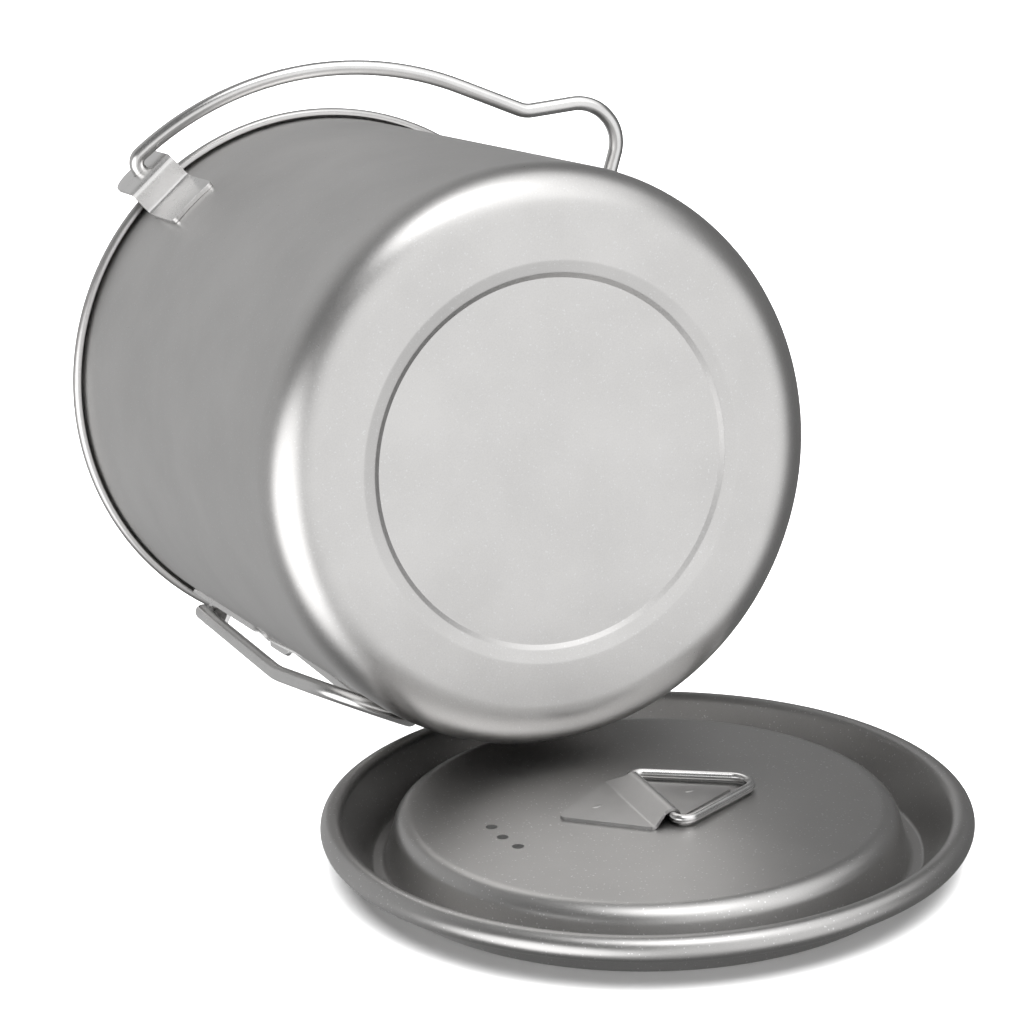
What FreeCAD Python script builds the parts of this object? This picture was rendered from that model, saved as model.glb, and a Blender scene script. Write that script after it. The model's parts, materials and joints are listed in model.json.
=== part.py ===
import FreeCAD, Part
import math
import os
import re

import Sketcher

# Cooking pot set: a deep pot lying on its side, a lid lying flat in front of it.
# Every pot piece is drawn in the pot's own frame (origin in the middle of the base,
# Z from the base to the rim, angles turned about Z), every lid piece in the lid's frame
# (origin in the middle of the lid, on the surface it lies on). A placement then puts it
# in the set's frame: Z up, origin on the floor in the middle of the whole set.

sizes = {
    # pot shell
    "wallRadius": 57.5,
    "potHeight": 128.0,
    "sheet": 0.55,
    "cornerRadius": 9.3,
    "dishInner": 36.0,
    "dishOuter": 39.1,
    "dishDepth": 1.1,
    "dishEdge": 0.8,
    "beadRadius": 1.35,
    "beadLap": 0.1,
    # how the pot lies, and where the set's origin is
    "potTilt": 5.4,
    "lidRight": 4.9,
    "lidForward": 28.6,
    "setShiftX": -5.79,
    "setShiftY": -22.08,
    # bail brackets, welded outside the wall below the rim bead
    "bailAngle": 51.0,
    "bracketWidth": 12.0,
    "bracketSheet": 1.0,
    "flangeBottom": 101.5,
    "shelfBottom": 117.0,
    "earFace": 63.6,
    "earTop": 131.0,
    "earRound": 4.2,
    "flangeCut": 1.5,
    "bendInside": 0.5,
    "holeClearance": 0.08,
    # bail
    "bailWire": 3.3,
    "bailPivotHeight": 124.5,
    "bailHalfSpan": 67.3,
    "hookEnd": 61.8,
    "hookBend": 2.6,
    "archCorner": 45.6,
    "archRadius": 69.2,
    "dipSide": 14.1,
    "dipHeight": 72.1,
    "dipBend": 6.3,
    "humpSide": 5.05,
    "humpHeight": 85.3,
    "humpBend": 9.3,
    "bailLean": 100.0,
    # folding side handle and its bracket
    "sideAngle": 297.0,
    "sideWire": 3.3,
    "sideHingeHeight": 118.0,
    "sideHingeReach": 59.9,
    "sideHalfWidth": 11.5,
    "sideBowReach": 62.2,
    "sideBowHeight": 64.0,
    "sideBowBend": 40.0,
    "sideEndReach": 59.5,
    "sideEndHeight": 35.0,
    "sideHookEnd": 6.2,
    "sideBend": 2.4,
    "plateBottom": 75.0,
    "plateTop": 120.0,
    "plateHalfWidth": 15.0,
    "plateRound": 4.0,
    "sideEarOuter": 9.0,
    "sideEarReach": 62.6,
    "sideEarBottom": 108.0,
    "sideEarTop": 120.5,
    "sideEarRound": 2.0,
    # lid shell
    "lipCentreRadius": 60.1,
    "lipCentreHeight": 7.8,
    "lipTube": 2.4,
    "skirtBottomRadius": 53.7,
    "skirtTopRadius": 58.1,
    "plateauHeight": 10.0,
    "plateauTopRadius": 47.8,
    "plateauFootRadius": 50.4,
    "plateauRound": 4.0,
    "ventRadius": 1.1,
    "ventCircle": 31.0,
    "ventAngle": 184.0,
    "ventSpacing": 5.4,
    "ventCount": 3,
    # lid grip
    "gripTurn": -3.0,
    "gripSheet": 0.7,
    "gripReach": 17.5,
    "gripHalfWidth": 12.5,
    "gripEndFlat": 1.5,
    "knuckleFoot": 3.4,
    "knuckleHalf": 9.6,
    "knuckleOuter": 1.75,
    "knuckleSink": 0.2,
    "knuckleFront": 1.0,
    "knuckleCut": 0.7,
    "knuckleBack": 0.9,
    "gripAxis": 1.3,
    "gripAxisHeight": 1.15,
    "ringWire": 1.9,
    "ringSide": 28.0,
    "ringFootBend": 2.2,
    "ringTipBend": 4.0,
}

doc = FreeCAD.newDocument("CookingPotSet")
sheet = doc.addObject("Spreadsheet::Sheet", "Sizes")
for line, (alias, value) in enumerate(sizes.items(), start=1):
    sheet.set("A%d" % line, alias)
    sheet.set("B%d" % line, str(value))
    sheet.setAlias("B%d" % line, alias)
doc.recompute()


def size(alias):
    return float(sheet.get(alias))


def expr(text):
    """Puts the sheet's name before each alias in a formula."""
    def with_sheet(found):
        word = found.group(0)
        return "Sizes." + word if word in sizes else word
    return re.sub("[A-Za-z]+", with_sheet, text)


def bind(obj, formulas):
    for prop, text in formulas.items():
        obj.setExpression(prop, expr(text))
    return obj


def primitive(kind, name, formulas):
    return bind(doc.addObject("Part::" + kind, name), formulas)


def combine(kind, name, first, second):
    """A boolean of two objects: Cut, Fuse or Common."""
    result = doc.addObject("Part::" + kind, name)
    result.Base = first
    result.Tool = second
    doc.recompute()
    return result


def fuse_all(name, pieces):
    result = doc.addObject("Part::MultiFuse", name)
    result.Shapes = pieces
    doc.recompute()
    return result


def edges_where(shape, test):
    """Numbers of the edges whose middle point passes the test."""
    found = []
    for number, edge in enumerate(shape.Edges, start=1):
        middle = edge.valueAt((edge.FirstParameter + edge.LastParameter) / 2)
        if test(edge, middle):
            found.append(number)
    return found


def circles_at(shape, radius, height):
    def on_circle(edge, middle):
        near_axis = abs(math.hypot(middle.x, middle.y) - radius) < 0.01
        whole = edge.Length > 6.0 * radius
        return near_axis and whole and abs(middle.z - height) < 0.01
    return edges_where(shape, on_circle)


def rounded(name, base, groups):
    """Part::Fillet on several groups of edges, each with its radius."""
    fillet = doc.addObject("Part::Fillet", name)
    fillet.Base = base
    fillet.Edges = [(number, radius, radius) for numbers, radius in groups for number in numbers]
    doc.recompute()
    return fillet


def polygon_sketch(body, name, plane, corners):
    """A closed outline whose corners are bound to formulas, (across, up) for each corner."""
    sketch = body.newObject("Sketcher::SketchObject", name)
    origin = [f for f in body.Origin.OriginFeatures if f.Role == plane][0]
    sketch.AttachmentSupport = [(origin, "")]
    sketch.MapMode = "FlatFace"
    spots = [FreeCAD.Vector(value_of(a), value_of(b), 0) for a, b in corners]
    count = len(spots)
    for i in range(count):
        sketch.addGeometry(Part.LineSegment(spots[i], spots[(i + 1) % count]), False)
    for i in range(count):
        sketch.addConstraint(Sketcher.Constraint("Coincident", i, 2, (i + 1) % count, 1))
    for i, (across, up) in enumerate(corners):
        hold(sketch, "DistanceX", i, across)
        hold(sketch, "DistanceY", i, up)
    doc.recompute()
    return sketch


def hold(sketch, kind, line, formula):
    """Holds the start of a line at a formula's distance from the sketch's origin."""
    value = value_of(formula)
    if formula == "0":
        on_axis = -2 if kind == "DistanceX" else -1
        sketch.addConstraint(Sketcher.Constraint("PointOnObject", line, 1, on_axis))
        return
    number = sketch.addConstraint(Sketcher.Constraint(kind, -1, 1, line, 1, value))
    sketch.renameConstraint(number, "%s%d" % (kind[-1].lower(), line))
    sketch.setExpression("Constraints.%s%d" % (kind[-1].lower(), line), expr(formula))


def value_of(formula):
    """The value of a formula of sums and differences of aliases and numbers."""
    total = 0.0
    for term in formula.replace("-", "+-").split("+"):
        term = term.strip()
        if not term:
            continue
        sign = -1.0 if term.startswith("-") else 1.0
        word = term.lstrip("- ")
        total += sign * (size(word) if word in sizes else float(word))
    return total


def circle_sketch(body, name, plane, across, up, radius):
    sketch = body.newObject("Sketcher::SketchObject", name)
    origin = [f for f in body.Origin.OriginFeatures if f.Role == plane][0]
    sketch.AttachmentSupport = [(origin, "")]
    sketch.MapMode = "FlatFace"
    centre = FreeCAD.Vector(value_of(across), value_of(up), 0)
    sketch.addGeometry(Part.Circle(centre, FreeCAD.Vector(0, 0, 1), radius), False)
    sketch.addConstraint(Sketcher.Constraint("Radius", 0, radius))
    for kind, formula in (("DistanceX", across), ("DistanceY", up)):
        if formula == "0":
            on_axis = -2 if kind == "DistanceX" else -1
            sketch.addConstraint(Sketcher.Constraint("PointOnObject", 0, 3, on_axis))
        else:
            number = sketch.addConstraint(
                Sketcher.Constraint(kind, -1, 1, 0, 3, value_of(formula)))
            sketch.setExpression("Constraints[%d]" % number, expr(formula))
    doc.recompute()
    return sketch


def pad(body, name, sketch, length, both_ways=True):
    feature = body.newObject("PartDesign::Pad", name)
    feature.Profile = sketch
    feature.setExpression("Length", expr(length))
    feature.Midplane = both_ways
    doc.recompute()
    return feature


def bore(body, name, sketch):
    """A pocket right through the body, both ways from the sketch's plane."""
    before = body.Shape.Volume
    feature = body.newObject("PartDesign::Pocket", name)
    feature.Profile = sketch
    feature.Type = "ThroughAll"
    feature.Midplane = True
    doc.recompute()
    if body.Shape.Volume > before - 0.5:
        raise RuntimeError(name + " cut nothing")
    return feature


def rounded_path(corners, closed=False):
    """Lines between corners (point, radius), with a tangent arc in each corner that has one."""
    count = len(corners)
    edges = []
    starts = []
    ends = []
    for i, (point, radius) in enumerate(corners):
        if radius == 0:
            starts.append(point)
            ends.append(point)
            continue
        before = (corners[i - 1][0] - point).normalize()
        after = (corners[(i + 1) % count][0] - point).normalize()
        half = before.getAngle(after) / 2
        reach = radius / math.tan(half)
        middle = (before + after).normalize() * (radius / math.sin(half) - radius)
        starts.append(point + before * reach)
        ends.append(point + after * reach)
        edges.append(Part.Arc(starts[i], point + middle, ends[i]).toShape())
    lines = []
    for i in range(count if closed else count - 1):
        here = ends[i]
        there = starts[(i + 1) % count]
        if here.distanceToPoint(there) > 0.001:
            lines.append(Part.LineSegment(here, there).toShape())
    return Part.Wire(Part.__sortEdges__(edges + lines))


def wire_piece(name, path, diameter, closed=False):
    """A round wire swept along a path of straight runs and tangent arcs."""
    spine = doc.addObject("Part::Feature", name + "_path")
    spine.Shape = path
    first = path.OrderedEdges[0]
    start = first.valueAt(first.FirstParameter)
    along = first.tangentAt(first.FirstParameter)
    ring = doc.addObject("Part::Circle", name + "_section")
    ring.setExpression("Radius", expr(diameter + " / 2"))
    turn = FreeCAD.Rotation(FreeCAD.Vector(0, 0, 1), along)
    ring.Placement = FreeCAD.Placement(start, turn)
    sweep = doc.addObject("Part::Sweep", name)
    sweep.Sections = [ring]
    sweep.Spine = (spine, ["Edge%d" % (i + 1) for i in range(len(path.Edges))])
    sweep.Solid = True
    sweep.Frenet = True
    doc.recompute()
    section = math.pi * (size(diameter) / 2) ** 2
    print("%s: wire %.1f mm long, volume %.1f against %.1f mm3"
          % (name, path.Length, sweep.Shape.Volume, section * path.Length))
    return sweep


def about_pot_axis(angle):
    return FreeCAD.Placement(FreeCAD.Vector(), FreeCAD.Rotation(FreeCAD.Vector(0, 0, 1), angle))


# ---- the two frames ----

tilt = math.radians(size("potTilt"))
bead_centre = size("wallRadius") - size("sheet") + size("beadRadius") - size("beadLap")
bead_height = size("potHeight") - size("beadRadius")
axis_height = (bead_height * math.sin(tilt) + bead_centre * math.cos(tilt)
               + size("beadRadius"))
lying = FreeCAD.Rotation(FreeCAD.Vector(1, 0, 0), -size("potTilt")).multiply(
    FreeCAD.Rotation(FreeCAD.Vector(0, 1, 1), 180))
pot_place = FreeCAD.Placement(
    FreeCAD.Vector(size("setShiftX"), size("setShiftY"), axis_height), lying)
lid_place = FreeCAD.Placement(
    FreeCAD.Vector(size("setShiftX") + size("lidRight"),
                   size("setShiftY") - size("lidForward"), 0), FreeCAD.Rotation())


# ---- pot body: a thin deep-drawn shell with a dished base and a curled rim ----

def make_pot_body():
    outside = primitive("Cylinder", "pot_outside", {
        "Radius": "wallRadius", "Height": "potHeight - beadRadius"})
    dish = primitive("Cone", "base_dish", {
        "Radius1": "dishOuter", "Radius2": "dishInner", "Height": "dishDepth"})
    dished = combine("Cut", "pot_dished", outside, dish)
    corner = circles_at(dished.Shape, size("wallRadius"), 0)
    step = circles_at(dished.Shape, size("dishOuter"), 0)
    skin = rounded("pot_skin", dished, [(corner, size("cornerRadius")), (step, size("dishEdge"))])
    inside = primitive("Cylinder", "pot_inside", {
        "Radius": "wallRadius - sheet", "Height": "potHeight",
        "Placement.Base.z": "sheet"})
    raised = primitive("Cone", "base_raised", {
        "Radius1": "dishOuter + sheet / 2", "Radius2": "dishInner + sheet / 2",
        "Height": "dishDepth", "Placement.Base.z": "sheet"})
    hollow = combine("Cut", "pot_hollow", inside, raised)
    corner = circles_at(hollow.Shape, size("wallRadius") - size("sheet"), size("sheet"))
    cavity = rounded("pot_cavity", hollow, [(corner, size("cornerRadius") - size("sheet"))])
    bead = primitive("Torus", "rim_bead", {
        "Radius1": "wallRadius - sheet + beadRadius - beadLap", "Radius2": "beadRadius",
        "Placement.Base.z": "potHeight - beadRadius"})
    beaded = combine("Fuse", "pot_beaded", skin, bead)
    pot = combine("Cut", "pot_body", beaded, cavity)
    pot.Placement = pot_place
    return pot


# ---- bail brackets: a bent strip, a flange on the wall, a shelf and an ear with a hole ----

def make_bail_bracket(name, turn):
    body = doc.addObject("PartDesign::Body", name + "_strip")
    outline = polygon_sketch(body, name + "_outline", "XZ_Plane", [
        ("wallRadius - sheet", "flangeBottom"),
        ("wallRadius + bracketSheet", "flangeBottom"),
        ("wallRadius + bracketSheet", "shelfBottom"),
        ("earFace + bracketSheet", "shelfBottom"),
        ("earFace + bracketSheet", "earTop"),
        ("earFace", "earTop"),
        ("earFace", "shelfBottom + bracketSheet"),
        ("wallRadius - sheet", "shelfBottom + bracketSheet")])
    pad(body, name + "_pad", outline, "bracketWidth")
    hole = circle_sketch(body, name + "_hole_outline", "YZ_Plane", "0", "bailPivotHeight",
                         size("bailWire") / 2 + size("holeClearance"))
    bore(body, name + "_hole", hole)

    def ear_corner(edge, middle):
        short = abs(edge.Length - size("bracketSheet")) < 0.01
        return short and abs(middle.z - size("earTop")) < 0.01

    def flange_corner(edge, middle):
        low = abs(middle.z - size("flangeBottom")) < 0.01
        return low and abs(abs(middle.y) - size("bracketWidth") / 2) < 0.01

    def bend(across, up):
        def test(edge, middle):
            at_corner = math.hypot(middle.x - across, middle.z - up) < 0.01
            return at_corner and abs(edge.Length - size("bracketWidth")) < 0.01
        return test

    wall = size("wallRadius")
    gauge = size("bracketSheet")
    shelf = size("shelfBottom")
    ear = size("earFace")
    inner = edges_where(body.Shape, bend(wall + gauge, shelf))
    inner += edges_where(body.Shape, bend(ear, shelf + gauge))
    outer = edges_where(body.Shape, bend(ear + gauge, shelf))
    bent = rounded(name + "_bends", body, [
        (edges_where(body.Shape, ear_corner), size("earRound")),
        (edges_where(body.Shape, flange_corner), size("flangeCut")),
        (inner, size("bendInside")),
        (outer, size("bendInside") + gauge)])
    wall_core = primitive("Cylinder", name + "_wall", {
        "Radius": "wallRadius", "Height": "potHeight"})
    bracket = combine("Cut", name, bent, wall_core)
    bracket.Placement = pot_place.multiply(about_pot_axis(turn))
    return bracket


# ---- bail: one wire, hooked through both ears, arched, with a hump to hang it by ----

def make_bail_handle():
    half = [(size("hookEnd"), 0, 0),
            (size("bailHalfSpan"), 0, size("hookBend")),
            (size("bailHalfSpan"), size("archCorner"), size("archRadius")),
            (size("dipSide"), size("dipHeight"), size("dipBend")),
            (size("humpSide"), size("humpHeight"), size("humpBend"))]
    mirrored = [(-side, up, radius) for side, up, radius in reversed(half)]
    corners = [(FreeCAD.Vector(side, 0, up), radius) for side, up, radius in half + mirrored]
    bail = wire_piece("bail_handle", rounded_path(corners), "bailWire")
    lean = FreeCAD.Placement(
        FreeCAD.Vector(0, 0, size("bailPivotHeight")),
        FreeCAD.Rotation(FreeCAD.Vector(1, 0, 0), -size("bailLean")))
    bail.Placement = pot_place.multiply(about_pot_axis(size("bailAngle"))).multiply(lean)
    return bail


# ---- side handle: a plate on the wall with two ears, and a U of wire folded along the pot ----

def make_side_bracket():
    outer = primitive("Cylinder", "plate_outside", {
        "Radius": "wallRadius + bracketSheet", "Height": "plateTop - plateBottom",
        "Placement.Base.z": "plateBottom"})
    patch = primitive("Box", "plate_patch", {
        "Length": "bracketSheet + cornerRadius", "Width": "plateHalfWidth * 2",
        "Height": "plateTop - plateBottom",
        "Placement.Base.x": "wallRadius - cornerRadius",
        "Placement.Base.y": "-plateHalfWidth", "Placement.Base.z": "plateBottom"})
    curved = combine("Common", "plate_curved", outer, patch)

    def plate_corner(edge, middle):
        at_side = abs(abs(middle.y) - size("plateHalfWidth")) < 0.01
        level = min(abs(middle.z - size("plateBottom")), abs(middle.z - size("plateTop")))
        return at_side and level < 0.01 and middle.x > 0

    plate = rounded("plate_round", curved, [
        (edges_where(curved.Shape, plate_corner), size("plateRound"))])
    ears = []
    for side, left in (("left", "-sideEarOuter"), ("right", "sideEarOuter - bracketSheet")):
        ear = primitive("Box", "ear_" + side, {
            "Length": "sideEarReach - wallRadius + bracketSheet", "Width": "bracketSheet",
            "Height": "sideEarTop - sideEarBottom",
            "Placement.Base.x": "wallRadius - bracketSheet",
            "Placement.Base.y": left, "Placement.Base.z": "sideEarBottom"})
        doc.recompute()

        def ear_edge(edge, middle):
            outside = abs(middle.x - size("sideEarReach")) < 0.01
            short = abs(edge.Length - size("bracketSheet")) < 0.01
            return outside and short
        ears.append(rounded("ear_round_" + side, ear, [
            (edges_where(ear.Shape, ear_edge), size("sideEarRound"))]))
    joined = fuse_all("plate_with_ears", [plate] + ears)
    pin = primitive("Cylinder", "hinge_hole", {
        "Radius": "sideWire / 2 + holeClearance", "Height": "plateHalfWidth * 2",
        "Placement.Base.x": "sideHingeReach", "Placement.Base.y": "plateHalfWidth",
        "Placement.Base.z": "sideHingeHeight"})
    pin.Placement.Rotation = FreeCAD.Rotation(FreeCAD.Vector(1, 0, 0), 90)
    drilled = combine("Cut", "plate_drilled", joined, pin)
    wall_core = primitive("Cylinder", "side_bracket_wall", {
        "Radius": "wallRadius", "Height": "potHeight"})
    bracket = combine("Cut", "side_bracket", drilled, wall_core)
    bracket.Placement = pot_place.multiply(about_pot_axis(size("sideAngle")))
    return bracket


def make_side_handle():
    reach = size("sideHingeReach")
    top = size("sideHingeHeight")
    half = size("sideHalfWidth")
    leg = [(reach, top, size("sideBend")),
           (size("sideBowReach"), size("sideBowHeight"), size("sideBowBend")),
           (size("sideEndReach"), size("sideEndHeight"), half)]
    corners = [(FreeCAD.Vector(reach, size("sideHookEnd"), top), 0)]
    corners += [(FreeCAD.Vector(across, half, up), bend) for across, up, bend in leg]
    corners += [(FreeCAD.Vector(across, -half, up), bend) for across, up, bend in reversed(leg)]
    corners += [(FreeCAD.Vector(reach, -size("sideHookEnd"), top), 0)]
    handle = wire_piece("side_handle", rounded_path(corners), "sideWire")
    handle.Placement = pot_place.multiply(about_pot_axis(size("sideAngle")))
    return handle


# ---- lid shell: a raised plateau, a trough round it and a rolled lip ----

def make_lid_shell():
    skirt = primitive("Cone", "skirt_outside", {
        "Radius1": "skirtBottomRadius", "Radius2": "skirtTopRadius",
        "Height": "lipCentreHeight"})
    trough = primitive("Cone", "trough_space", {
        "Radius1": "skirtBottomRadius - sheet", "Radius2": "skirtTopRadius - sheet",
        "Height": "lipCentreHeight", "Placement.Base.z": "sheet"})
    ring = combine("Cut", "skirt_ring", skirt, trough)
    plateau = primitive("Cone", "plateau_outside", {
        "Radius1": "plateauFootRadius", "Radius2": "plateauTopRadius",
        "Height": "plateauHeight"})
    doc.recompute()
    top = circles_at(plateau.Shape, size("plateauTopRadius"), size("plateauHeight"))
    dome = rounded("plateau_round", plateau, [(top, size("plateauRound"))])
    lip = primitive("Torus", "lip_roll", {
        "Radius1": "lipCentreRadius", "Radius2": "lipTube",
        "Placement.Base.z": "lipCentreHeight"})
    outside = fuse_all("lid_outside", [ring, dome, lip])
    under = primitive("Cone", "plateau_inside", {
        "Radius1": "plateauFootRadius - sheet", "Radius2": "plateauTopRadius - sheet",
        "Height": "plateauHeight - sheet"})
    doc.recompute()
    top = circles_at(under.Shape, size("plateauTopRadius") - size("sheet"),
                     size("plateauHeight") - size("sheet"))
    under_round = rounded("plateau_inside_round", under, [
        (top, size("plateauRound") - size("sheet"))])
    lid = combine("Cut", "lid_unvented", outside, under_round)
    vents = []
    step = math.degrees(size("ventSpacing") / size("ventCircle"))
    count = int(size("ventCount"))
    for i in range(count):
        vent = primitive("Cylinder", "vent_%d" % (i + 1), {
            "Radius": "ventRadius", "Height": "plateauHeight * 2"})
        angle = math.radians(size("ventAngle") + step * (i - (count - 1) / 2))
        vent.Placement.Base = FreeCAD.Vector(
            size("ventCircle") * math.cos(angle), size("ventCircle") * math.sin(angle), 0)
        vents.append(vent)
    shell = combine("Cut", "lid_shell", lid, fuse_all("vents", vents))
    shell.Placement = lid_place
    return shell


# ---- lid grip: a diamond plate with a knuckle over the middle, and a three-sided ring ----

def grip_place():
    on_plateau = FreeCAD.Placement(
        FreeCAD.Vector(0, 0, size("plateauHeight")),
        FreeCAD.Rotation(FreeCAD.Vector(0, 0, 1), size("gripTurn")))
    return lid_place.multiply(on_plateau)


def make_grip_plate():
    body = doc.addObject("PartDesign::Body", "lid_grip_plate")
    diamond = polygon_sketch(body, "diamond", "XY_Plane", [
        ("-gripReach", "0"),
        ("gripAxis - knuckleFoot - gripEndFlat", "-gripHalfWidth"),
        ("gripAxis - knuckleFoot", "-gripHalfWidth"),
        ("gripAxis - knuckleFoot", "-knuckleHalf"),
        ("gripAxis + knuckleOuter", "-knuckleHalf"),
        ("gripReach", "0"),
        ("gripAxis + knuckleOuter", "knuckleHalf"),
        ("gripAxis - knuckleFoot", "knuckleHalf"),
        ("gripAxis - knuckleFoot", "gripHalfWidth"),
        ("gripAxis - knuckleFoot - gripEndFlat", "gripHalfWidth")])
    pad(body, "diamond_plate", diamond, "gripSheet", both_ways=False)
    knuckle = polygon_sketch(body, "knuckle", "XZ_Plane", [
        ("gripAxis - knuckleFoot", "gripSheet - knuckleSink"),
        ("gripAxis + knuckleOuter", "gripSheet - knuckleSink"),
        ("gripAxis + knuckleOuter", "gripAxisHeight + knuckleFront"),
        ("gripAxis + knuckleOuter - knuckleCut", "gripAxisHeight + knuckleOuter"),
        ("gripAxis - knuckleBack", "gripAxisHeight + knuckleOuter")])
    pad(body, "knuckle_block", knuckle, "knuckleHalf * 2")
    hole = circle_sketch(body, "ring_hole_outline", "XZ_Plane", "gripAxis", "gripAxisHeight",
                         size("ringWire") / 2 + size("holeClearance"))
    bore(body, "ring_hole", hole)
    body.Placement = grip_place()
    return body


def make_grip_ring():
    half = size("ringSide") / 2
    foot = size("ringFootBend")
    tip = size("gripAxis") + size("ringSide") * math.sqrt(3) / 2
    level = size("gripAxisHeight")
    corners = [(FreeCAD.Vector(size("gripAxis"), half, level), foot),
               (FreeCAD.Vector(size("gripAxis"), -half, level), foot),
               (FreeCAD.Vector(tip, 0, level), size("ringTipBend"))]
    ring = wire_piece("lid_grip_ring", rounded_path(corners, closed=True), "ringWire")
    ring.Placement = grip_place()
    return ring


pieces = [
    make_pot_body(),
    make_bail_bracket("bail_bracket_left", size("bailAngle")),
    make_bail_bracket("bail_bracket_right", size("bailAngle") + 180),
    make_bail_handle(),
    make_side_bracket(),
    make_side_handle(),
    make_lid_shell(),
    make_grip_plate(),
    make_grip_ring(),
]
doc.recompute()

for obj in doc.Objects:
    if "Invalid" in obj.State or "Error" in obj.State:
        raise RuntimeError("%s failed: %s" % (obj.Name, obj.State))

os.makedirs("parts", exist_ok=True)
whole = FreeCAD.BoundBox()
for piece in pieces:
    shape = piece.Shape
    if shape.isNull() or not shape.isValid():
        raise RuntimeError(piece.Name + " has no valid shape")
    piece.Label = piece.Name
    box = shape.optimalBoundingBox(False)
    whole.add(box)
    print("%-20s %d solid(s) %9.1f mm3  x %7.2f %7.2f  y %7.2f %7.2f  z %7.2f %7.2f" % (
        piece.Label, len(shape.Solids), shape.Volume,
        box.XMin, box.XMax, box.YMin, box.YMax, box.ZMin, box.ZMax))
    shape.exportStep("parts/" + piece.Label + ".step")
print("set: x %.2f %.2f  y %.2f %.2f  z %.2f %.2f  axis height %.3f" % (
    whole.XMin, whole.XMax, whole.YMin, whole.YMax, whole.ZMin, whole.ZMax, axis_height))
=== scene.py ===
import json
import math

import bmesh
import bpy
from mathutils import Matrix, Vector


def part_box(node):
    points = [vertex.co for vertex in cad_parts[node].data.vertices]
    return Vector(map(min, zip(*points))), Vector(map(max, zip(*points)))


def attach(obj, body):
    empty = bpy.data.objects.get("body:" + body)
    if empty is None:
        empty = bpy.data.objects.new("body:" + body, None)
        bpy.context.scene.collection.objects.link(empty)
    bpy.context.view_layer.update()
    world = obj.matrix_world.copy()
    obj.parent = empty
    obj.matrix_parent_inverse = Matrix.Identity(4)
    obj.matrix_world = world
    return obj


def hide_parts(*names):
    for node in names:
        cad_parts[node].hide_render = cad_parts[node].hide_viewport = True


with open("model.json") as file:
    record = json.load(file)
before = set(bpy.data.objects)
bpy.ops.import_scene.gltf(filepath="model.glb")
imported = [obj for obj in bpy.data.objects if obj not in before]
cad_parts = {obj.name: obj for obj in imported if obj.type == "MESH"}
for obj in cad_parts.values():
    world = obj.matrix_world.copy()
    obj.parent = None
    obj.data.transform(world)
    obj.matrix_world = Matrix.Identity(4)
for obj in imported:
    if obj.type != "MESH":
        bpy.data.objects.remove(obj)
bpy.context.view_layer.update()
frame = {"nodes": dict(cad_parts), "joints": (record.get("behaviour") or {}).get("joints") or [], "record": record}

# Pieces are shaped in millimetres in a frame of their own, then put in place in their mesh.
mounts = {mount["name"]: mount for mount in frame["record"]["mounts"]}
joints = {joint["name"]: joint for joint in frame["joints"]}


def placedFrame(origin, up, across):
    # a frame in millimetres whose Z is up and whose X is as near across as it can be
    zAxis = Vector(up).normalized()
    xAxis = Vector(across)
    xAxis = (xAxis - zAxis * zAxis.dot(xAxis)).normalized()
    turn = Matrix((xAxis, zAxis.cross(xAxis), zAxis)).transposed().to_4x4()
    return Matrix.Translation(origin) @ turn @ Matrix.Scale(0.001, 4)


def linkedObject(name, data):
    thing = bpy.data.objects.new(name, data)
    bpy.context.scene.collection.objects.link(thing)
    return thing


potAxis = Vector(mounts["pot_mouth"]["axis"])
mouthPoint = Vector(mounts["pot_mouth"]["pos_m"])
basePoint = Vector(mounts["base_face"]["pos_m"])
potBase = mouthPoint + potAxis * potAxis.dot(basePoint - mouthPoint)
bailAxis = Vector(joints["bail_hinge"]["axis"])
bailPivot = Vector(joints["bail_hinge"]["pos_m"])
bailUp = Vector(mounts["bail_hump"]["axis"])
sideAxis = Vector(joints["side_handle_hinge"]["axis"])
lidLow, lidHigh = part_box("lid_shell")
lidCentre = Vector(((lidLow.x + lidHigh.x) / 2, (lidLow.y + lidHigh.y) / 2, lidLow.z))
gripCentre = Vector((lidCentre.x, lidCentre.y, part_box("lid_grip_plate")[0].z))
ringAxis = Vector(joints["ring_hinge"]["axis"])

potFrame = placedFrame(potBase, potAxis, (-1, 0, 0))
leftBracketFrame = placedFrame(potBase, potAxis, bailAxis)
rightBracketFrame = placedFrame(potBase, potAxis, -bailAxis)
bailFrame = placedFrame(bailPivot, bailUp, bailAxis)
sideFrame = placedFrame(potBase, potAxis, potAxis.cross(sideAxis))
lidFrame = placedFrame(lidCentre, (0, 0, 1), (1, 0, 0))
gripFrame = placedFrame(gripCentre, (0, 0, 1), Vector((0, 0, 1)).cross(ringAxis))
print("frame read")


cameraValues = {
    "fromPotBase": (-0.25086, -0.56446, 0.18683),
    "azimuth": 23.17,
    "elevation": 17.64,
    "roll": -1.42,
    "lens": 117.545,
    "sensor": 36,
    "clip": (0.01, 50),
}


def makeCamera(values):
    azimuth = math.radians(values["azimuth"])
    elevation = math.radians(values["elevation"])
    forward = Vector((math.sin(azimuth) * math.cos(elevation),
                      math.cos(azimuth) * math.cos(elevation), -math.sin(elevation)))
    right = forward.cross((0, 0, 1)).normalized()
    right = Matrix.Rotation(-math.radians(values["roll"]), 3, forward) @ right
    up = right.cross(forward)
    turn = Matrix((right, up, -forward)).transposed().to_4x4()
    camera = linkedObject("camera", bpy.data.cameras.new("camera"))
    camera.matrix_world = Matrix.Translation(potBase + Vector(values["fromPotBase"])) @ turn
    camera.data.lens = values["lens"]
    camera.data.sensor_width = values["sensor"]
    camera.data.clip_start, camera.data.clip_end = values["clip"]
    bpy.context.scene.camera = camera


makeCamera(cameraValues)
print("camera set")


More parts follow.
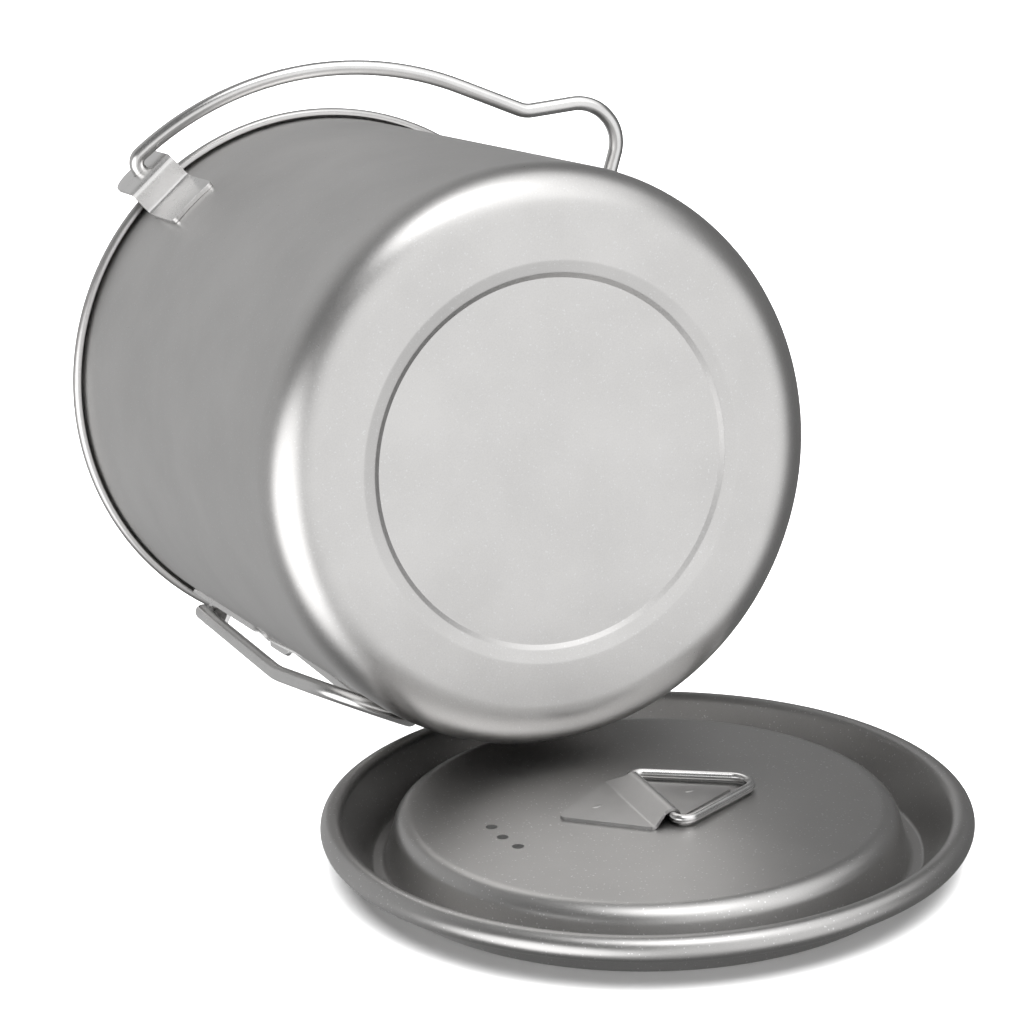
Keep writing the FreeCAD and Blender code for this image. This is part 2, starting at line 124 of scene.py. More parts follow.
# shader maths: a socket that can be added to, multiplied and so on
class Value:
    def __init__(self, nodes, socket):
        self.nodes = nodes
        self.socket = socket

    def maths(self, operation, first, second=None):
        values = {0: first} if second is None else {0: first, 1: second}
        return self.nodes.make("ShaderNodeMath", {"operation": operation}, values)

    def __add__(self, other):
        return self.maths("ADD", self, other)

    def __sub__(self, other):
        return self.maths("SUBTRACT", self, other)

    def __mul__(self, other):
        return self.maths("MULTIPLY", self, other)

    def __gt__(self, other):
        return self.maths("GREATER_THAN", self, other)

    def __rsub__(self, other):
        return self.maths("SUBTRACT", other, self)

    __radd__ = __add__
    __rmul__ = __mul__


class NodeBench:
    # makes the nodes of one material or world
    def __init__(self, tree):
        self.tree = tree
        self.tree.nodes.clear()

    def make(self, kind, settings=None, inputs=None, output=0):
        node = self.tree.nodes.new(kind)
        for name, setting in (settings or {}).items():
            setattr(node, name, setting)
        for name, value in (inputs or {}).items():
            if isinstance(value, Value):
                self.tree.links.new(value.socket, node.inputs[name])
            else:
                node.inputs[name].default_value = value
        return Value(self, node.outputs[output]) if len(node.outputs) else node

    def noise(self, place, scale, detail=2.0, roughness=0.5):
        return self.make("ShaderNodeTexNoise", {}, {
            "Vector": place, "Scale": scale, "Detail": detail, "Roughness": roughness})

    def ramp(self, amount, fromMin, fromMax, low=0.0, high=1.0):
        return self.make("ShaderNodeMapRange", {"interpolation_type": "SMOOTHSTEP"}, {
            "Value": amount, "From Min": fromMin, "From Max": fromMax,
            "To Min": low, "To Max": high})

    def mixColour(self, amount, first, second):
        return self.make("ShaderNodeMix", {"data_type": "RGBA"}, {
            0: amount, 6: first, 7: second}, output=2)


def grey(level, warmth=1.0):
    return (level * warmth, level, level * (2 - warmth), 1.0)


blastedValues = {
    "light": 0.60,
    "dark": 0.52,
    "warmth": 1.012,
    "roughLow": 0.30,
    "roughHigh": 0.38,
    "grainScale": 3200.0,
    "grainDetail": (3.0, 0.6),
    "cloudScale": 45.0,
    "cloudDetail": (4.0, 0.55),
    "noiseSpan": (0.3, 0.7),
    "speckScale": 4200.0,
    "speckShare": 0.02,
    "speckPaintedGlint": 0.64,
    "speckCover": 0.8,
    "speckPolish": 0.03,
    "bumpStrength": 0.22,
    "bumpDepth": 0.00002,
}


def blastedTitanium(name, values):
    # bead-blasted sheet: a fine even grain, faint clouds, and a few grains with a painted glint: painted lighter
    # in colour, and also made a little less rough
    material = bpy.data.materials.new(name)
    material.use_nodes = True
    bench = NodeBench(material.node_tree)
    place = bench.make("ShaderNodeTexCoord", output="Object")
    low, high = values["noiseSpan"]
    grain = bench.noise(place, values["grainScale"], *values["grainDetail"])
    cloud = bench.noise(place, values["cloudScale"], *values["cloudDetail"])
    cells = bench.make("ShaderNodeTexVoronoi", {"feature": "F1"}, {
        "Vector": place, "Scale": values["speckScale"]}, output="Color")
    chance = bench.make("ShaderNodeSeparateColor", {}, {"Color": cells})
    speck = chance > 1 - values["speckShare"]
    shade = bench.ramp(cloud * 0.5 + grain * 0.5, low, high)
    metal = bench.mixColour(shade, grey(values["dark"], values["warmth"]),
                            grey(values["light"], values["warmth"]))
    # painted glint: the specks are painted lighter than the metal round them
    colour = bench.mixColour(speck * values["speckCover"], metal, grey(values["speckPaintedGlint"]))
    rough = bench.ramp(grain, low, high, values["roughLow"], values["roughHigh"])
    rough = rough - speck * values["speckPolish"]
    bump = bench.make("ShaderNodeBump", {}, {
        "Strength": values["bumpStrength"], "Distance": values["bumpDepth"], "Height": grain})
    shader = bench.make("ShaderNodeBsdfPrincipled", {}, {
        "Base Color": colour, "Metallic": 1.0, "Roughness": rough, "Normal": bump})
    bench.make("ShaderNodeOutputMaterial", {}, {"Surface": shader})
    return material


wireValues = {
    "light": 0.68,
    "dark": 0.60,
    "warmth": 1.008,
    "roughLow": 0.18,
    "roughHigh": 0.28,
    "streakScale": 2600.0,
    "streakDetail": (5.0, 0.7),
    "patchScale": 140.0,
    "patchDetail": (3.0, 0.5),
    "patchShare": 0.6,
    "shadeSpan": (0.32, 0.68),
    "roughSpan": (0.3, 0.7),
    "bumpStrength": 0.12,
    "bumpDepth": 0.00001,
}


def drawnTitanium(name, values):
    # drawn wire and rolled strip: small dull patches and a fine scratched surface
    material = bpy.data.materials.new(name)
    material.use_nodes = True
    bench = NodeBench(material.node_tree)
    place = bench.make("ShaderNodeTexCoord", output="Object")
    scratch = bench.noise(place, values["streakScale"], *values["streakDetail"])
    patch = bench.noise(place, values["patchScale"], *values["patchDetail"])
    share = values["patchShare"]
    shade = bench.ramp(patch * share + scratch * (1 - share), *values["shadeSpan"])
    colour = bench.mixColour(shade, grey(values["dark"], values["warmth"]),
                             grey(values["light"], values["warmth"]))
    rough = bench.ramp(patch * 0.5 + scratch * 0.5, *values["roughSpan"],
                       values["roughLow"], values["roughHigh"])
    bump = bench.make("ShaderNodeBump", {}, {
        "Strength": values["bumpStrength"], "Distance": values["bumpDepth"],
        "Height": scratch})
    shader = bench.make("ShaderNodeBsdfPrincipled", {}, {
        "Base Color": colour, "Metallic": 1.0, "Roughness": rough, "Normal": bump})
    bench.make("ShaderNodeOutputMaterial", {}, {"Surface": shader})
    return material


potFinish = blastedTitanium("blasted_titanium", blastedValues)
# painted shade: the lid gets a copy of the pot's finish painted darker, standing in for the dimmer light the lid
# reflects
lidShadedFinish = blastedTitanium("blasted_titanium_lid_painted_shade", {
    **blastedValues, "light": 0.48, "dark": 0.42, "roughLow": 0.31, "roughHigh": 0.39,
    "speckShare": 0.014, "speckPaintedGlint": 0.70})
wireFinish = drawnTitanium("drawn_titanium_wire", wireValues)
# painted light: the brackets get a copy of the wire finish painted lighter, standing in for the brighter light
# they catch
stripLitFinish = drawnTitanium("rolled_titanium_strip_painted_light", {
    **wireValues, "light": 0.78, "dark": 0.70, "roughLow": 0.26, "roughHigh": 0.34})
# painted shade: the grip plate gets a copy of the wire finish painted darker, down to the lid's painted shade
gripShadedFinish = drawnTitanium("rolled_titanium_grip_painted_shade", {
    **wireValues, "light": 0.47, "dark": 0.42, "roughLow": 0.31, "roughHigh": 0.38})
print("finishes made")


def roundedOutline(corners, closed=False, stepAngle=6.0, longRun=8.0):
    # (across, up, radius) corners to points, with an arc in each corner that has a radius
    spots = [Vector((across, up)) for across, up, radius in corners]
    count = len(spots)
    points = []
    for i, (across, up, radius) in enumerate(corners):
        if radius == 0:
            points.append(spots[i])
            continue
        before = (spots[i - 1] - spots[i]).normalized()
        after = (spots[(i + 1) % count] - spots[i]).normalized()
        half = before.angle(after) / 2
        start = spots[i] + before * (radius / math.tan(half))
        centre = spots[i] + (before + after).normalized() * (radius / math.sin(half))
        sweep = math.pi - 2 * half
        sense = 1 if before.x * after.y - before.y * after.x < 0 else -1
        steps = max(2, math.ceil(math.degrees(sweep) / stepAngle))
        spoke = start - centre
        for k in range(steps + 1):
            points.append(centre + Matrix.Rotation(sense * sweep * k / steps, 2) @ spoke)
    return supportedRuns(points, closed, longRun)


def supportedRuns(points, closed, longRun, margin=0.4):
    # a point close to each end of a long run keeps the flat shading flat
    found = []
    for i, point in enumerate(points):
        found.append(point)
        if i == len(points) - 1 and not closed:
            break
        there = points[(i + 1) % len(points)]
        run = (there - point).length
        if run < 2.5 * margin:
            continue
        along = (there - point) / run
        found.append(point + along * margin)
        parts = int(run / longRun) + 1
        for k in range(1, parts):
            found.append(point + along * run * k / parts)
        found.append(there - along * margin)
    return found


def arcPoints(across, up, radius, first, last, stepAngle=8.0):
    steps = max(2, math.ceil(abs(last - first) / stepAngle))
    turns = [math.radians(first + (last - first) * k / steps) for k in range(steps + 1)]
    return [Vector((across + radius * math.cos(a), up + radius * math.sin(a))) for a in turns]


def spun(points, closed, steps):
    # turns an outline of (radius, height) points right round Z
    bm = bmesh.new()
    verts = [bm.verts.new((point.x, 0, point.y)) for point in points]
    edges = [bm.edges.new(pair) for pair in zip(verts, verts[1:])]
    if closed:
        edges.append(bm.edges.new((verts[-1], verts[0])))
    bmesh.ops.spin(bm, geom=verts + edges, cent=(0, 0, 0), axis=(0, 0, 1),
                   angle=math.tau, steps=steps, use_merge=True)
    bmesh.ops.remove_doubles(bm, verts=bm.verts, dist=0.0001)
    bmesh.ops.recalc_face_normals(bm, faces=bm.faces)
    return bm


def bends(corners, closed):
    # for each corner (point, radius): where its bend starts and ends, its centre, axis and angle
    count = len(corners)
    found = []
    for i, (point, radius) in enumerate(corners):
        if radius == 0:
            found.append((point, point, None, None, 0.0))
            continue
        before = (corners[i - 1][0] - point).normalized()
        after = (corners[(i + 1) % count][0] - point).normalized()
        half = before.angle(after) / 2
        reach = radius / math.tan(half)
        centre = point + (before + after).normalized() * (radius / math.sin(half))
        axis = after.cross(before).normalized()
        found.append((point + before * reach, point + after * reach, centre, axis,
                      math.pi - 2 * half))
    return found


def bentWire(corners, diameter, closed=False, facets=28, stepAngle=4.0, endRound=0.45):
    # a round wire drawn out along straight runs and bent round arcs
    bm = bmesh.new()
    turns = bends(corners, closed)
    start = turns[0][1]
    along = (turns[1][0] - start).normalized()
    place = Matrix.Translation(start) @ along.to_track_quat("Z", "Y").to_matrix().to_4x4()
    bmesh.ops.create_circle(bm, cap_ends=not closed, segments=facets, radius=diameter / 2,
                            matrix=place)
    ring = list(bm.edges)
    firstRing = list(ring)
    order = turns[1:] + turns[:1] if closed else turns[1:]
    here = start
    for bendStart, bendEnd, centre, axis, angle in order:
        if (bendStart - here).length > 0.001:
            ring = drawnOut(bm, ring, bendStart - here)
        if angle:
            steps = max(3, math.ceil(math.degrees(angle) / stepAngle))
            verts = list({vert for edge in ring for vert in edge.verts})
            made = bmesh.ops.spin(bm, geom=verts + ring, cent=centre, axis=axis,
                                  angle=angle, steps=steps)
            ring = [g for g in made["geom_last"] if isinstance(g, bmesh.types.BMEdge)]
        here = bendEnd
    if closed:
        bmesh.ops.remove_doubles(bm, verts=bm.verts, dist=0.001)
    else:
        bmesh.ops.contextual_create(bm, geom=ring)
        bmesh.ops.bevel(bm, geom=firstRing + ring, offset=endRound, segments=4,
                        affect="EDGES", profile=0.5, material=-1)
    bmesh.ops.recalc_face_normals(bm, faces=bm.faces)
    return bm


def drawnOut(bm, ring, step):
    made = bmesh.ops.extrude_edge_only(bm, edges=ring)["geom"]
    verts = [g for g in made if isinstance(g, bmesh.types.BMVert)]
    bmesh.ops.translate(bm, verts=verts, vec=step)
    fresh = set(verts)
    edges = [g for g in made if isinstance(g, bmesh.types.BMEdge)]
    return [edge for edge in edges if set(edge.verts) <= fresh]


def sheetBlank(corners, cuts, columns):
    # a flat blank of (along, across, radius) corners, cut into strips where it will be bent
    bm = bmesh.new()
    verts = [bm.verts.new((along, across, 0)) for along, across, radius in corners]
    bm.faces.new(verts)
    for vert, (along, across, radius) in zip(verts, corners):
        if radius:
            bmesh.ops.bevel(bm, geom=[vert], offset=radius, segments=8, affect="VERTICES",
                            profile=0.5, material=-1)
    for axis, places in ((Vector((1, 0, 0)), cuts), (Vector((0, 1, 0)), columns)):
        for place in places:
            geom = list(bm.verts) + list(bm.edges) + list(bm.faces)
            bmesh.ops.bisect_plane(bm, geom=geom, plane_co=axis * place, plane_no=axis,
                                   dist=0.0001)
    return bm


def evenly(first, last, step):
    count = max(1, round((last - first) / step))
    return [first + (last - first) * k / count for k in range(count + 1)]


def foldAlong(bm, outline):
    # bends a flat blank along an outline of (x, z) points: along becomes the way on the outline
    lengths = [0.0]
    for one, two in zip(outline, outline[1:]):
        lengths.append(lengths[-1] + (two - one).length)
    for vert in bm.verts:
        way = min(max(vert.co.x, 0.0), lengths[-1] - 1e-6)
        k = max(i for i, length in enumerate(lengths) if length <= way)
        share = (way - lengths[k]) / max(lengths[k + 1] - lengths[k], 1e-9)
        point = outline[k].lerp(outline[k + 1], share)
        vert.co = Vector((point.x, vert.co.y, point.y))
    return lengths[-1]


def wayLength(outline):
    return sum((two - one).length for one, two in zip(outline, outline[1:]))


def addPiece(name, bm, place, finish, body, nodes=(), sharpAngle=38.0):
    mesh = bpy.data.meshes.new(name)
    bm.to_mesh(mesh)
    bm.free()
    mesh.transform(place)
    piece = linkedObject(name, mesh)
    finishPiece(piece, finish, sharpAngle)
    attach(piece, body)
    if nodes:
        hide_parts(*nodes)
    return piece


def finishPiece(piece, finish, sharpAngle):
    piece.data.materials.clear()
    piece.data.materials.append(finish)
    for polygon in piece.data.polygons:
        polygon.use_smooth = True
    piece.data.set_sharp_from_angle(angle=math.radians(sharpAngle))


def applied(bm, steps):
    # a mesh with modifiers applied; steps is a list of (type, settings)
    mesh = bpy.data.meshes.new("work")
    bm.to_mesh(mesh)
    bm.free()
    work = linkedObject("work", mesh)
    for kind, settings in steps:
        modifier = work.modifiers.new(kind.lower(), kind)
        for setting, value in settings.items():
            setattr(modifier, setting, value)
    graph = bpy.context.evaluated_depsgraph_get()
    done = bpy.data.meshes.new_from_object(work.evaluated_get(graph))
    bpy.data.objects.remove(work)
    result = bmesh.new()
    result.from_mesh(done)
    return result


def brokenEdges(width, sharpAngle=50):
    # the step for applied() that rounds off a sheet's sharp edges
    return ("BEVEL", {"width": width, "segments": 2, "limit_method": "ANGLE",
                      "angle_limit": math.radians(sharpAngle)})


def cutterObject(bm):
    mesh = bpy.data.meshes.new("cutter")
    bm.to_mesh(mesh)
    bm.free()
    return linkedObject("cutter", mesh)


def pinCutter(pins):
    # (centre, axis, start radius, end radius, depth) for each pin
    bm = bmesh.new()
    for centre, axis, startRadius, endRadius, depth in pins:
        turn = Vector(axis).to_track_quat("Z", "Y").to_matrix().to_4x4()
        bmesh.ops.create_cone(bm, cap_ends=True, segments=32, radius1=startRadius,
                              radius2=endRadius, depth=depth, matrix=Matrix.Translation(centre) @ turn)
    return cutterObject(bm)


def addNugget(bm, centre, turn, radii):
    # the low oval swelling that a spot weld leaves
    place = Matrix.Translation(centre) @ turn @ Matrix.Diagonal((*radii, 1.0))
    bmesh.ops.create_uvsphere(bm, u_segments=20, v_segments=10, radius=1.0, matrix=place)


potValues = {
    "wallRadius": 57.5,
    "sheet": 0.55,
    "cornerRadius": 9.3,
    "dishInner": 36.0,
    "dishMiddle": (37.0, 0.55),
    "dishOuter": 39.5,
    "dishBends": (0.12, 0.9, 2.0),
    "dishDepth": 1.1,
    "dishInside": (0.1, 0.7, 1.1),
    "curlCentre": (58.3, 126.62),
    "curlOuter": 1.35,
    "curlInner": 0.8,
    "curlEnd": -94.0,
    "steps": 224,
}


def potOutline(values):
    wall = values["wallRadius"]
    sheet = values["sheet"]
    depth = values["dishDepth"]
    innerBend, middleBend, outerBend = values["dishBends"]
    insideShift, innerInside, outerInside = values["dishInside"]
    curlAcross, curlUp = values["curlCentre"]
    outside = roundedOutline([
        (0.0, depth, 0), (values["dishInner"], depth, innerBend),
        (*values["dishMiddle"], middleBend), (values["dishOuter"], 0.0, outerBend),
        (wall, 0.0, values["cornerRadius"]),
        (wall, curlUp, 0)])
    rollInner = arcPoints(curlAcross, curlUp, values["curlInner"], 180, values["curlEnd"])
    rollOuter = arcPoints(curlAcross, curlUp, values["curlOuter"], values["curlEnd"], 180)
    inside = roundedOutline([
        (wall - sheet, curlUp, 0), (wall - sheet, sheet, values["cornerRadius"] - sheet),
        (values["dishOuter"] + insideShift, sheet, outerInside),
        (values["dishInner"] + insideShift, depth + sheet, innerInside),
        (0.0, depth + sheet, 0)])
    return outside[:-1] + rollInner + rollOuter + inside[1:]


addPiece("pot_shell", spun(potOutline(potValues), False, potValues["steps"]), potFrame,
         potFinish, "pot", ["pot_body"])
print("pot made")


bracketValues = {
    "halfWidth": 6.0,
    "sheet": 1.0,
    "flangeMiddle": 58.02,
    "flangeBottom": 101.5,
    "shelfMiddle": 117.5,
    "earMiddle": 64.1,
    "earTop": 131.0,
    "bend": 1.0,
    "flangeCorner": 1.5,
    "earCorner": 4.2,
    "holeHeight": 124.5,
    "holeRadius": 1.73,
    "flatEar": 11.0,
    "edgeRound": 0.09,
    "gridStep": (0.35, 1.0),
    "flattenFrom": 113.5,
    "flattenRun": 3.0,
    "pinLength": 4.0,
    "nuggets": ((-1.0, 111.0), (2.6, 107.0)),
    "nuggetRadii": (0.10, 0.42, 0.42),
}


def makeBracket(name, node, place, values):
    outline = roundedOutline([
        (values["flangeMiddle"], values["flangeBottom"], 0),
        (values["flangeMiddle"], values["shelfMiddle"], values["bend"]),
        (values["earMiddle"], values["shelfMiddle"], values["bend"]),
        (values["earMiddle"], values["earTop"], 0)], stepAngle=9.0)
    length = wayLength(outline)
    half = values["halfWidth"]
    corner = values["flangeCorner"]
    ear = values["earCorner"]
    stepAlong, stepAcross = values["gridStep"]
    bm = sheetBlank([(0, -half, corner), (0, half, corner), (length, half, ear),
                     (length, -half, ear)],
                    evenly(corner, length - values["flatEar"], stepAlong),
                    evenly(corner - half, half - corner, stepAcross))
    foldAlong(bm, outline)
    for vert in bm.verts:
        # the flange follows the round wall, and flattens out before the shelf
        radius = values["flangeMiddle"]
        drop = radius - math.sqrt(radius ** 2 - vert.co.y ** 2)
        below = values["flattenFrom"] + values["flattenRun"] - vert.co.z
        share = min(max(below / values["flattenRun"], 0.0), 1.0)
        vert.co.x -= drop * share * share * (3 - 2 * share)
    pin = pinCutter([((values["earMiddle"], 0, values["holeHeight"]), (1, 0, 0),
                      values["holeRadius"], values["holeRadius"], values["pinLength"])])
    bm = applied(bm, [("SOLIDIFY", {"thickness": values["sheet"], "offset": 0.0}),
                      ("BOOLEAN", {"operation": "DIFFERENCE", "object": pin}),
                      brokenEdges(values["edgeRound"])])
    bpy.data.objects.remove(pin)
    for across, up in values["nuggets"]:
        outer = values["flangeMiddle"] + values["sheet"] / 2
        centre = Vector((math.sqrt(outer ** 2 - across ** 2), across, up))
        addNugget(bm, centre, Matrix(), values["nuggetRadii"])
    addPiece(name, bm, place, stripLitFinish, "pot", [node], sharpAngle=20.0)


makeBracket("bail_bracket_a", "bail_bracket_left", leftBracketFrame, bracketValues)
makeBracket("bail_bracket_b", "bail_bracket_right", rightBracketFrame, bracketValues)
print("brackets made")


bailValues = {
    "wire": 3.3,
    "end": 61.8,
    "halfSpan": 67.3,
    "hookBend": 2.6,
    "archCorner": 45.6,
    "archRadius": 69.2,
    "dip": (14.1, 72.1, 6.3),
    "hump": (5.05, 85.3, 9.3),
}


def makeBail(values):
    half = [(values["end"], 0, 0), (values["halfSpan"], 0, values["hookBend"]),
            (values["halfSpan"], values["archCorner"], values["archRadius"]),
            values["dip"], values["hump"]]
    other = [(-across, up, radius) for across, up, radius in reversed(half)]
    corners = [(Vector((across, 0, up)), radius) for across, up, radius in half + other]
    bm = bentWire(corners, values["wire"], stepAngle=2.0)
    addPiece("bail_wire", bm, bailFrame, wireFinish, "bail", ["bail_handle"])


makeBail(bailValues)
print("bail made")


sideValues = {
    "wire": 3.3,
    "reach": 59.9,
    "top": 118.0,
    "bow": (62.2, 64.0, 40.0),
    "foot": (59.5, 35.0),
    "halfWidth": 11.5,
    "end": 6.2,
    "bend": 2.4,
    "bracketRound": 0.14,
}


def makeSideHandle(values):
    reach = values["reach"]
    half = values["halfWidth"]
    leg = [(reach, values["top"], values["bend"]), values["bow"], (*values["foot"], half)]
    corners = [(Vector((reach, values["end"], values["top"])), 0)]
    corners += [(Vector((across, half, up)), bend) for across, up, bend in leg]
    corners += [(Vector((across, -half, up)), bend) for across, up, bend in reversed(leg)]
    corners += [(Vector((reach, -values["end"], values["top"])), 0)]
    bm = bentWire(corners, values["wire"], stepAngle=3.0)
    addPiece("side_handle_wire", bm, sideFrame, wireFinish,
             "folding_handle", ["side_handle"])


def roundedCopy(name, node, width, finish, body):
    # a CAD node's copy with its sharp edges broken, as a tumbled part has them
    bm = bmesh.new()
    bm.from_mesh(frame["nodes"][node].data)
    bmesh.ops.remove_doubles(bm, verts=bm.verts, dist=1e-6)
    bmesh.ops.dissolve_limit(bm, angle_limit=math.radians(0.3), verts=bm.verts,
                             edges=bm.edges)
    bm = applied(bm, [brokenEdges(width * 0.001)])
    addPiece(name, bm, Matrix(), finish, body, [node])


makeSideHandle(sideValues)
roundedCopy("side_handle_bracket", "side_bracket", sideValues["bracketRound"], stripLitFinish,
            "pot")
print("side handle made")


lidValues = {
    "sheet": 0.5,
    "plateauTop": 10.0,
    "plateauRadius": 47.8,
    "plateauRound": 4.0,
    "footRadius": 50.4,
    "troughRadius": 53.02,
    "rollCentre": (60.1, 7.8),
    "rollOuter": 2.4,
    "rollStart": 149.5,
    "rollEnd": -128.0,
    "ventRadius": 1.1,
    "ventUnder": 1.9,
    "ventDepth": 0.55,
    "ventCircle": 31.0,
    "ventAngle": 184.0,
    "ventSpacing": 5.4,
    "vents": 3,
    "bends": (1.0, 0.9),
    "underShift": (0.28, -0.36, -0.40),
    "underBends": (1.4, 0.5),
    "steps": 224,
}


def lidOutline(values):
    sheet = values["sheet"]
    top = values["plateauTop"]
    across, up = values["rollCentre"]
    inner = values["rollOuter"] - sheet
    footBend, troughBend = values["bends"]
    troughShift, footShift, plateauShift = values["underShift"]
    troughUnder, footUnder = values["underBends"]
    skirt = arcPoints(across, up, values["rollOuter"], values["rollStart"], values["rollStart"])[0]
    under = arcPoints(across, up, inner, values["rollStart"], values["rollStart"])[0]
    upper = roundedOutline([
        (0.0, top, 0), (values["plateauRadius"], top, values["plateauRound"]),
        (values["footRadius"], sheet, footBend), (values["troughRadius"], sheet, troughBend),
        (skirt.x, skirt.y, 0)])
    rollOuter = arcPoints(across, up, values["rollOuter"], values["rollStart"],
                          values["rollEnd"], stepAngle=6.0)
    rollInner = arcPoints(across, up, inner, values["rollEnd"], values["rollStart"],
                          stepAngle=6.0)
    lower = roundedOutline([
        (under.x, under.y, 0), (values["troughRadius"] + troughShift, 0.0, troughUnder),
        (values["footRadius"] + footShift, 0.0, footUnder),
        (values["plateauRadius"] + plateauShift, top - sheet, values["plateauRound"] - sheet),
        (0.0, top - sheet, 0)])
    return upper[:-1] + rollOuter + rollInner + lower[1:]


def makeLid(values):
    bm = spun(lidOutline(values), False, values["steps"])
    pins = []
    for i in range(values["vents"]):
        shift = values["ventSpacing"] / values["ventCircle"] * (i - (values["vents"] - 1) / 2)
        angle = math.radians(values["ventAngle"]) + shift
        centre = Vector((math.cos(angle), math.sin(angle), 0)) * values["ventCircle"]
        # each vent opens out towards the underside of the sheet
        middle = centre + Vector((0, 0, values["plateauTop"] - values["sheet"] / 2))
        pins.append((middle, (0, 0, 1), values["ventUnder"], values["ventRadius"],
                     values["ventDepth"]))
    cutter = pinCutter(pins)
    bm = applied(bm, [("BOOLEAN", {"operation": "DIFFERENCE", "object": cutter})])
    bpy.data.objects.remove(cutter)
    addPiece("lid_pressing", bm, lidFrame, lidShadedFinish, "lid", ["lid_shell"])


makeLid(lidValues)
print("lid made")


gripValues = {
    "sheet": 0.6,
    "reach": 17.5,
    "halfWidth": 12.5,
    "foldAcross": -3.4,
    "foldHalf": 9.9,
    "rampRun": 3.6,
    "cornerRounds": (0.5, 0.9, 0.4),
    "bendMargin": 1.5,
    "bendStep": 0.3,
    "axisAcross": 1.3,
    "axisUp": 1.15,
    "wrapRadius": 1.33,
    "footBend": 1.2,
    "heelBend": 0.45,
    "tipHalf": 0.7,
    "edgeRound": 0.12,
    "nuggets": ((-9.5, 1.5), (9.8, 1.5)),
    "nuggetTurn": 0.3,
    "nuggetRadii": (1.1, 0.55, 0.09),
    "ringWire": 1.9,
    "ringSide": 28.0,
    "ringFootBend": 2.2,
    "ringTipBend": 4.0,
}


def makeGripPlate(values):
    # one blank: a triangle, a band folded over the ring's wire, and a second triangle
    level = values["sheet"] / 2
    fold = Vector((values["foldAcross"], level))
    centre = Vector((values["axisAcross"], values["axisUp"]))
    wrap = values["wrapRadius"]
    reach = centre - fold
    climb = math.atan2(reach.y, reach.x) + math.asin(wrap / reach.length)
    crest = values["axisAcross"] + wrap
    outline = roundedOutline([
        (-values["reach"], level, 0), (fold.x, fold.y, values["footBend"]),
        (crest, fold.y + (crest - fold.x) * math.tan(climb), wrap),
        (crest, level, values["heelBend"]), (values["reach"], level, 0)], stepAngle=9.0)
    length = wayLength(outline)
    foldWay = values["reach"] + values["foldAcross"]
    downWay = length - (values["reach"] - crest)
    tip = values["tipHalf"]
    wide = values["halfWidth"]
    band = values["foldHalf"]
    crestWay = foldWay + values["rampRun"]
    tipRound, wideRound, bandRound = values["cornerRounds"]
    side = [(0, tip, tipRound), (foldWay, wide, wideRound), (crestWay, band, 0),
            (downWay, band, bandRound), (length, tip, tipRound)]
    other = [(way, -across, radius) for way, across, radius in reversed(side)]
    margin = values["bendMargin"]
    rows = evenly(foldWay - margin, downWay + margin, values["bendStep"])
    bm = sheetBlank(side + other, rows, [])
    foldAlong(bm, outline)
    bm = applied(bm, [("SOLIDIFY", {"thickness": values["sheet"], "offset": 0.0}),
                      brokenEdges(values["edgeRound"])])
    for across, along in values["nuggets"]:
        addNugget(bm, (across, along, values["sheet"]),
                  Matrix.Rotation(values["nuggetTurn"], 4, "Z"), values["nuggetRadii"])
    addPiece("lid_grip", bm, gripFrame, gripShadedFinish, "lid",
             ["lid_grip_plate"], sharpAngle=20.0)


def makeGripRing(values):
    half = values["ringSide"] / 2
    foot = values["axisAcross"]
    tip = foot + values["ringSide"] * math.sqrt(3) / 2
    level = values["axisUp"]
    corners = [(Vector((foot, half, level)), values["ringFootBend"]),
               (Vector((foot, -half, level)), values["ringFootBend"]),
               (Vector((tip, 0, level)), values["ringTipBend"])]
    bm = bentWire(corners, values["ringWire"], closed=True, facets=24, stepAngle=6.0)
    addPiece("lid_ring", bm, gripFrame, wireFinish, "grip_ring",
             ["lid_grip_ring"])


makeGripPlate(gripValues)
makeGripRing(gripValues)
print("lid grip made")


stageValues = {
    "floorSize": 6.0,
    "floorShade": 0.88,
    "floorRough": 0.8,
    "floorShine": 0.1,
    "lightHeight": 2.2,
    "lightSize": 3.5,
    "floorPower": 210.0,
    "worldLevel": 0.19,
}
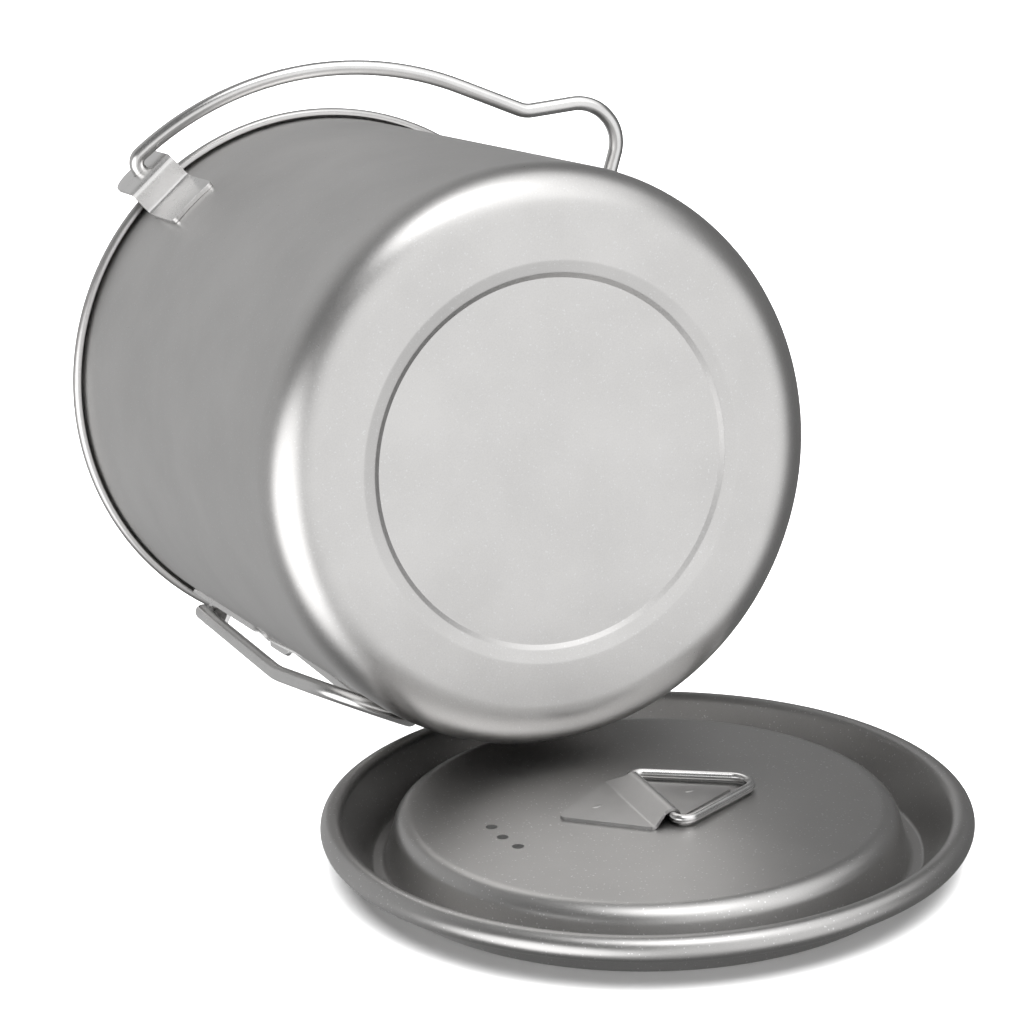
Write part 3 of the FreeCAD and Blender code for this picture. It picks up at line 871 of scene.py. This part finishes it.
# soft reflections round the set: direction, cosines where each starts and is full, level
studioGlow = {
    "backLeft": ((-0.50, 0.85, 0.05), 0.30, 0.90, 0.38),
    "front": ((0.28, -0.95, 0.10), 0.55, 0.93, 1.05),
    "left": ((-0.84, -0.44, -0.24), 0.76, 0.94, 2.30),
    "overhead": ((0.32, -0.25, 0.88), 0.72, 0.95, 1.20),
    "strip": ((0.00, -0.32, 0.95), 0.91, 0.98, 2.20),
    "tableFront": ((-0.32, -0.62, -0.71), 0.84, 0.97, 0.38),
}


def makeFloor(values):
    bm = bmesh.new()
    bmesh.ops.create_grid(bm, x_segments=1, y_segments=1, size=values["floorSize"])
    mesh = bpy.data.meshes.new("floor")
    bm.to_mesh(mesh)
    bm.free()
    floor = linkedObject("floor", mesh)
    floor.visible_glossy = False
    material = bpy.data.materials.new("paper_floor")
    material.use_nodes = True
    bench = NodeBench(material.node_tree)
    shader = bench.make("ShaderNodeBsdfPrincipled", {}, {
        "Base Color": grey(values["floorShade"]), "Roughness": values["floorRough"],
        "Specular IOR Level": values["floorShine"]})
    bench.make("ShaderNodeOutputMaterial", {}, {"Surface": shader})
    mesh.materials.append(material)


def makeWorld(values, glow):
    world = bpy.data.worlds.new("studio")
    bpy.context.scene.world = world
    world.use_nodes = True
    bench = NodeBench(world.node_tree)
    way = bench.make("ShaderNodeTexCoord", output="Generated")
    level = values["worldLevel"]
    for direction, startCosine, fullCosine, strength in glow.values():
        near = bench.make("ShaderNodeVectorMath", {"operation": "DOT_PRODUCT"}, {
            0: way, 1: Vector(direction).normalized()}, output="Value")
        level = bench.ramp(near, startCosine, fullCosine, 0.0, strength) + level
    background = bench.make("ShaderNodeBackground", {}, {
        "Color": grey(1.0), "Strength": level})
    bench.make("ShaderNodeOutputWorld", {}, {"Surface": background})


def makeFloorLight(values):
    light = bpy.data.lights.new("floor_light", "AREA")
    light.size = values["lightSize"]
    light.energy = values["floorPower"]
    lamp = linkedObject("floor_light", light)
    lamp.matrix_world = Matrix.Translation((0.0, 0.0, values["lightHeight"]))
    lamp.visible_glossy = False
    # only the lid shades the floor, so that it looks dark through the lid's vents
    floorShade = bpy.data.collections.new("floor_shade")
    floorShade.objects.link(bpy.data.objects["lid_pressing"])
    lamp.light_linking.blocker_collection = floorShade


makeFloor(stageValues)
makeWorld(stageValues, studioGlow)
makeFloorLight(stageValues)
bpy.context.scene.view_settings.view_transform = "Standard"
print("stage made")
